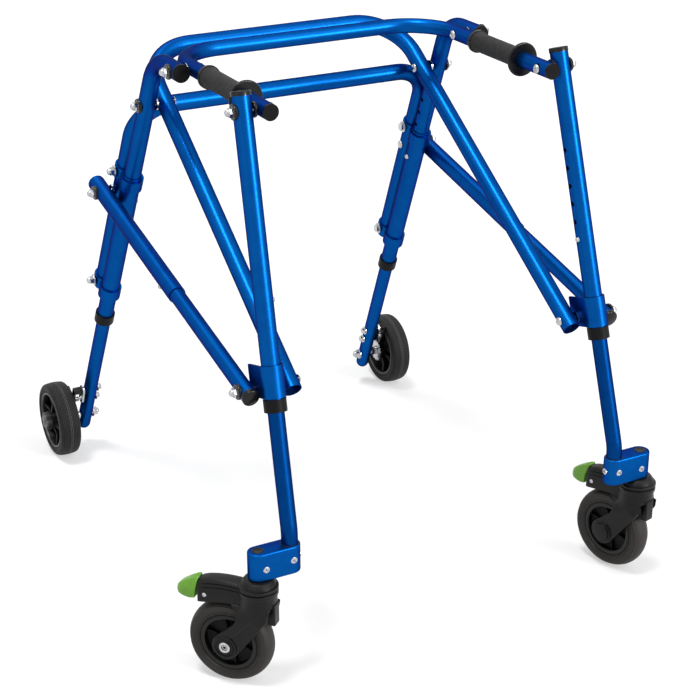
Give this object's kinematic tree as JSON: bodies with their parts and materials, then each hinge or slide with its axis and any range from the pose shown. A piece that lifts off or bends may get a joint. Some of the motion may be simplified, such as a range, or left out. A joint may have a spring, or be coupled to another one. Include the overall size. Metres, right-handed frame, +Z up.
{
  "type": "posterior walker",
  "caption": "Folding posterior walker with an open front, rear cross bars, foam hand grips, braked swivel casters in front and ratchet wheels behind.",
  "frame": {"origin": "on the floor, midway between the two caster stems", "axes": "+Y from the open front towards the rear wheels, +Z up, +X to the image's right"},
  "size_m": [0.7183, 0.8566, 0.7607],
  "materials": {
    "blue_paint": "gloss metallic blue",
    "bright_steel": "bright plated",
    "black_plastic": "satin black",
    "grip_foam": "matte foam",
    "rear_tyre": "matte rubber",
    "caster_tyre": "matte grey-black rubber",
    "green_plastic": "satin green"
  },
  "bodies": {
    "rear_frame": {"rear_frame_tube": "blue_paint", "sleeve_left": "blue_paint", "sleeve_right": "blue_paint", "upper_clamps": "blue_paint", "lower_clamps": "blue_paint", "clamp_bolts": "bright_steel", "upright_left": "blue_paint", "upright_right": "blue_paint", "upright_plugs": "black_plastic", "rear_collars": "black_plastic", "top_bolts": "bright_steel", "stub_bolts": "bright_steel", "brace_bolts": "bright_steel"},
    "diagonal": {"diagonal_frame": "blue_paint"},
    "handle": {"handle_bar": "blue_paint", "grip_left": "grip_foam", "grip_right": "grip_foam", "handle_plugs": "black_plastic"},
    "front_leg_left": {"front_leg_left": "blue_paint", "front_collar_left": "black_plastic", "front_bolts_left": "bright_steel"},
    "front_lower_left": {"front_lower_leg_left": "blue_paint", "caster_block_left": "blue_paint"},
    "caster_left": {"caster_fork_left": "black_plastic"},
    "caster_wheel_left": {"caster_rim_left": "black_plastic", "caster_tyre_left": "caster_tyre"},
    "pedal_left": {"brake_pedal_left": "green_plastic"},
    "brace_outer_left": {"brace_outer_left": "blue_paint"},
    "brace_inner_left": {"brace_inner_left": "blue_paint"},
    "rear_leg_left": {"rear_leg_left": "blue_paint", "rear_axle_left": "bright_steel", "ratchet_plate_left": "bright_steel"},
    "rear_wheel_left": {"rear_rim_left": "black_plastic", "rear_tyre_left": "rear_tyre", "ratchet_gear_left": "bright_steel"},
    "pawl_left": {"pawl_left": "black_plastic"},
    "front_button_left": {"front_button_left": "bright_steel"},
    "sleeve_button_left": {"sleeve_button_left": "bright_steel"},
    "brace_button_left": {"brace_button_left": "bright_steel"},
    "front_leg_right": {"front_leg_right": "blue_paint", "front_collar_right": "black_plastic", "front_bolts_right": "bright_steel"},
    "front_lower_right": {"front_lower_leg_right": "blue_paint", "caster_block_right": "blue_paint"},
    "caster_right": {"caster_fork_right": "black_plastic"},
    "caster_wheel_right": {"caster_rim_right": "black_plastic", "caster_tyre_right": "caster_tyre"},
    "pedal_right": {"brake_pedal_right": "green_plastic"},
    "brace_outer_right": {"brace_outer_right": "blue_paint"},
    "brace_inner_right": {"brace_inner_right": "blue_paint"},
    "rear_leg_right": {"rear_leg_right": "blue_paint", "rear_axle_right": "bright_steel", "ratchet_plate_right": "bright_steel"},
    "rear_wheel_right": {"rear_rim_right": "black_plastic", "rear_tyre_right": "rear_tyre", "ratchet_gear_right": "bright_steel"},
    "pawl_right": {"pawl_right": "black_plastic"},
    "front_button_right": {"front_button_right": "bright_steel"},
    "sleeve_button_right": {"sleeve_button_right": "bright_steel"},
    "brace_button_right": {"brace_button_right": "bright_steel"}
  },
  "joints": [
    {"name": "fold", "type": "hinge", "parent": "rear_frame", "child": "diagonal", "pos_m": [0, 0.48037, 0.66], "axis": [1, 0, 0], "range_deg": [0, 28]},
    {"name": "handle_turn", "type": "hinge", "parent": "rear_frame", "child": "handle", "pos_m": [0, 0.37155, 0.734], "axis": [1, 0, 0], "range_deg": [0, 44.1]},
    {"name": "front_leg_turn_left", "type": "hinge", "parent": "diagonal", "child": "front_leg_left", "pos_m": [-0.25007, 0.07697, 0.39011], "axis": [1, 0, 0], "range_deg": [-9.4, 0]},
    {"name": "front_height_left", "type": "slide", "parent": "front_leg_left", "child": "front_lower_left", "axis": [0.0335, 0.2822, 0.9588], "range_m": [0, 0.125]},
    {"name": "swivel_left", "type": "hinge", "parent": "front_lower_left", "child": "caster_left", "pos_m": [-0.30192, 0, 0], "axis": [0, 0, 1], "continuous": true},
    {"name": "caster_roll_left", "type": "hinge", "parent": "caster_left", "child": "caster_wheel_left", "pos_m": [-0.3281, 0.02958, 0.0595], "axis": [-0.749, -0.6626, 0], "continuous": true},
    {"name": "pedal_press_left", "type": "hinge", "parent": "caster_left", "child": "pedal_left", "pos_m": [-0.34897, 0.05318, 0.1275], "axis": [-0.749, -0.6626, 0], "range_deg": [0, 12]},
    {"name": "brace_turn_left", "type": "hinge", "parent": "rear_frame", "child": "brace_outer_left", "pos_m": [-0.24649, 0.58334, 0.506], "axis": [1, 0, 0], "range_deg": [0, 26.6]},
    {"name": "brace_slide_left", "type": "slide", "parent": "brace_outer_left", "child": "brace_inner_left", "axis": [0.0065, 0.9748, 0.2231], "range_m": [0, 0.0904]},
    {"name": "rear_height_left", "type": "slide", "parent": "rear_frame", "child": "rear_leg_left", "axis": [0.0411, -0.4254, 0.9041], "range_m": [0, 0.075]},
    {"name": "rear_roll_left", "type": "hinge", "parent": "rear_leg_left", "child": "rear_wheel_left", "pos_m": [-0.31114, 0.762, 0.0615], "axis": [1, 0, 0], "continuous": true},
    {"name": "pawl_lift_left", "type": "hinge", "parent": "rear_leg_left", "child": "pawl_left", "pos_m": [-0.26445, 0.74456, 0.09857], "axis": [1, 0, 0], "range_deg": [0, 20]},
    {"name": "front_button_press_left", "type": "slide", "parent": "front_leg_left", "child": "front_button_left", "axis": [-1, 0, 0], "range_m": [0, 0.0025], "stiffness_N_per_m": 800},
    {"name": "sleeve_button_press_left", "type": "slide", "parent": "rear_frame", "child": "sleeve_button_left", "axis": [-1, 0, 0], "range_m": [0, 0.0025], "stiffness_N_per_m": 800},
    {"name": "brace_button_press_left", "type": "slide", "parent": "brace_outer_left", "child": "brace_button_left", "axis": [0.788, -0.1424, 0.599], "range_m": [0, 0.0025], "stiffness_N_per_m": 800},
    {"name": "front_leg_turn_right", "type": "hinge", "parent": "diagonal", "child": "front_leg_right", "pos_m": [0.25007, 0.07697, 0.39011], "axis": [1, 0, 0], "range_deg": [-9.4, 0]},
    {"name": "front_height_right", "type": "slide", "parent": "front_leg_right", "child": "front_lower_right", "axis": [-0.0335, 0.2822, 0.9588], "range_m": [0, 0.125]},
    {"name": "swivel_right", "type": "hinge", "parent": "front_lower_right", "child": "caster_right", "pos_m": [0.30192, 0, 0], "axis": [0, 0, 1], "continuous": true},
    {"name": "caster_roll_right", "type": "hinge", "parent": "caster_right", "child": "caster_wheel_right", "pos_m": [0.2913, 0.03805, 0.0595], "axis": [-0.9632, -0.2689, 0], "continuous": true},
    {"name": "pedal_press_right", "type": "hinge", "parent": "caster_right", "child": "pedal_right", "pos_m": [0.28283, 0.06839, 0.1275], "axis": [-0.9632, -0.2689, 0], "range_deg": [0, 12]},
    {"name": "brace_turn_right", "type": "hinge", "parent": "rear_frame", "child": "brace_outer_right", "pos_m": [0.24649, 0.58334, 0.506], "axis": [1, 0, 0], "range_deg": [0, 26.6]},
    {"name": "brace_slide_right", "type": "slide", "parent": "brace_outer_right", "child": "brace_inner_right", "axis": [-0.0065, 0.9748, 0.2231], "range_m": [0, 0.0904]},
    {"name": "rear_height_right", "type": "slide", "parent": "rear_frame", "child": "rear_leg_right", "axis": [-0.0411, -0.4254, 0.9041], "range_m": [0, 0.075]},
    {"name": "rear_roll_right", "type": "hinge", "parent": "rear_leg_right", "child": "rear_wheel_right", "pos_m": [0.31114, 0.762, 0.0615], "axis": [1, 0, 0], "continuous": true},
    {"name": "pawl_lift_right", "type": "hinge", "parent": "rear_leg_right", "child": "pawl_right", "pos_m": [0.26445, 0.74456, 0.09857], "axis": [1, 0, 0], "range_deg": [0, 20]},
    {"name": "front_button_press_right", "type": "slide", "parent": "front_leg_right", "child": "front_button_right", "axis": [1, 0, 0], "range_m": [0, 0.0025], "stiffness_N_per_m": 800},
    {"name": "sleeve_button_press_right", "type": "slide", "parent": "rear_frame", "child": "sleeve_button_right", "axis": [1, 0, 0], "range_m": [0, 0.0025], "stiffness_N_per_m": 800},
    {"name": "brace_button_press_right", "type": "slide", "parent": "brace_outer_right", "child": "brace_button_right", "axis": [-0.788, -0.1424, 0.599], "range_m": [0, 0.0025], "stiffness_N_per_m": 800}
  ],
  "couplings": [
    {"joint": "handle_turn", "follows": "fold", "ratio": 1.5575},
    {"joint": "front_leg_turn_left", "follows": "fold", "ratio": -0.3162},
    {"joint": "brace_turn_left", "follows": "fold", "ratio": 0.9336},
    {"joint": "brace_slide_left", "follows": "fold", "m_per_rad": 0.18086},
    {"joint": "front_leg_turn_right", "follows": "fold", "ratio": -0.3162},
    {"joint": "brace_turn_right", "follows": "fold", "ratio": 0.9336},
    {"joint": "brace_slide_right", "follows": "fold", "m_per_rad": 0.18086}
  ]
}
